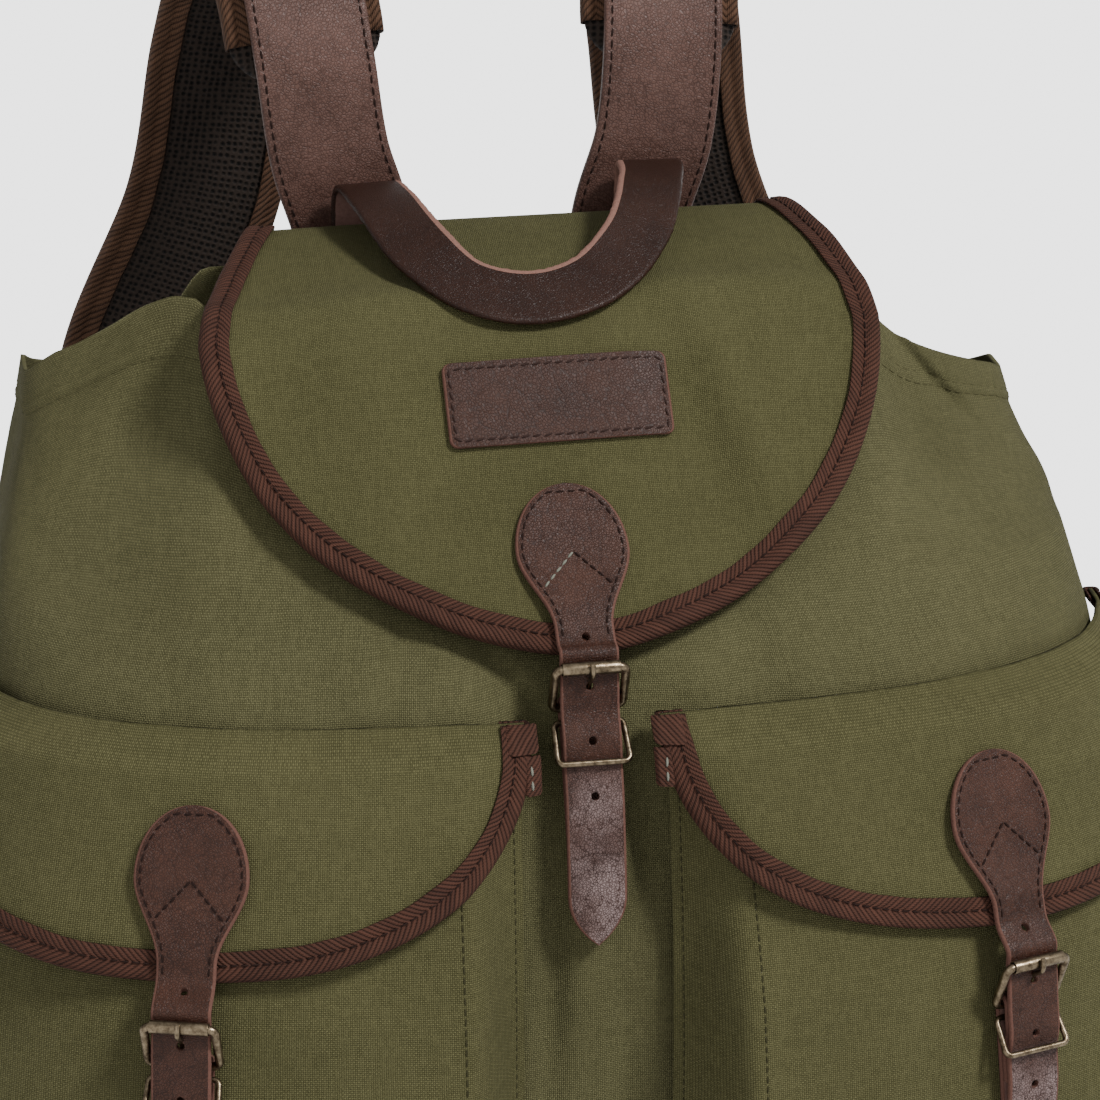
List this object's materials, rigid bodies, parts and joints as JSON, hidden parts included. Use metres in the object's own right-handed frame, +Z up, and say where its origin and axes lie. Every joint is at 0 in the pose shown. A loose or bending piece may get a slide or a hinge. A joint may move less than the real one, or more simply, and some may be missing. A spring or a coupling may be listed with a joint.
{
  "type": "canvas rucksack",
  "caption": "Upright canvas rucksack with a D-shaped lid bound in tape, bellows front pockets, leather roller-buckle straps, a grab handle and padded shoulder straps.",
  "frame": {"origin": "bottom centre of the object's box: the plane the base rests on, mid width, mid depth", "axes": "+Z up through the mouth, -Y towards the viewer of the pockets, +Y towards the wearer, +X to the viewer's right"},
  "size_m": [0.4652, 0.3409, 0.4682],
  "materials": {
    "canvas": "olive green waxed cotton canvas, plain weave",
    "twill_tape": "dark brown herringbone twill tape",
    "leather": "dark brown smooth leather, slight sheen, cut edges",
    "spacer_mesh": "black spacer mesh over foam",
    "webbing": "dark brown woven webbing",
    "antique_brass": "antique brass wire"
  },
  "bodies": {
    "root": {"bag_body": "canvas", "lid": "canvas", "lid_binding": "twill_tape", "label_patch": "leather", "lid_strap": "leather", "lid_anchor_strap": "leather", "lid_buckle_frame": "antique_brass", "lid_buckle_roller": "antique_brass", "lid_buckle_prong": "antique_brass", "lid_keeper_ring": "antique_brass", "carry_handle": "leather", "pocket_left": "canvas", "pocket_right": "canvas", "flap_left": "canvas", "flap_right": "canvas", "flap_binding_left": "twill_tape", "flap_binding_right": "twill_tape", "pocket_left_strap": "leather", "pocket_left_anchor_strap": "leather", "pocket_left_buckle_frame": "antique_brass", "pocket_left_buckle_roller": "antique_brass", "pocket_left_buckle_prong": "antique_brass", "pocket_left_keeper_ring": "antique_brass", "pocket_right_strap": "leather", "pocket_right_anchor_strap": "leather", "pocket_right_buckle_frame": "antique_brass", "pocket_right_buckle_roller": "antique_brass", "pocket_right_buckle_prong": "antique_brass", "pocket_right_keeper_ring": "antique_brass", "strap_leather_left": "leather", "strap_leather_right": "leather", "strap_pad_left": "spacer_mesh", "strap_pad_right": "spacer_mesh", "strap_loop_left": "webbing", "strap_loop_right": "webbing", "strap_slider_left": "antique_brass", "strap_slider_right": "antique_brass", "strap_webbing_left": "webbing", "strap_webbing_right": "webbing", "strap_tab_left": "leather", "strap_tab_right": "leather"}
  },
  "joints": []
}
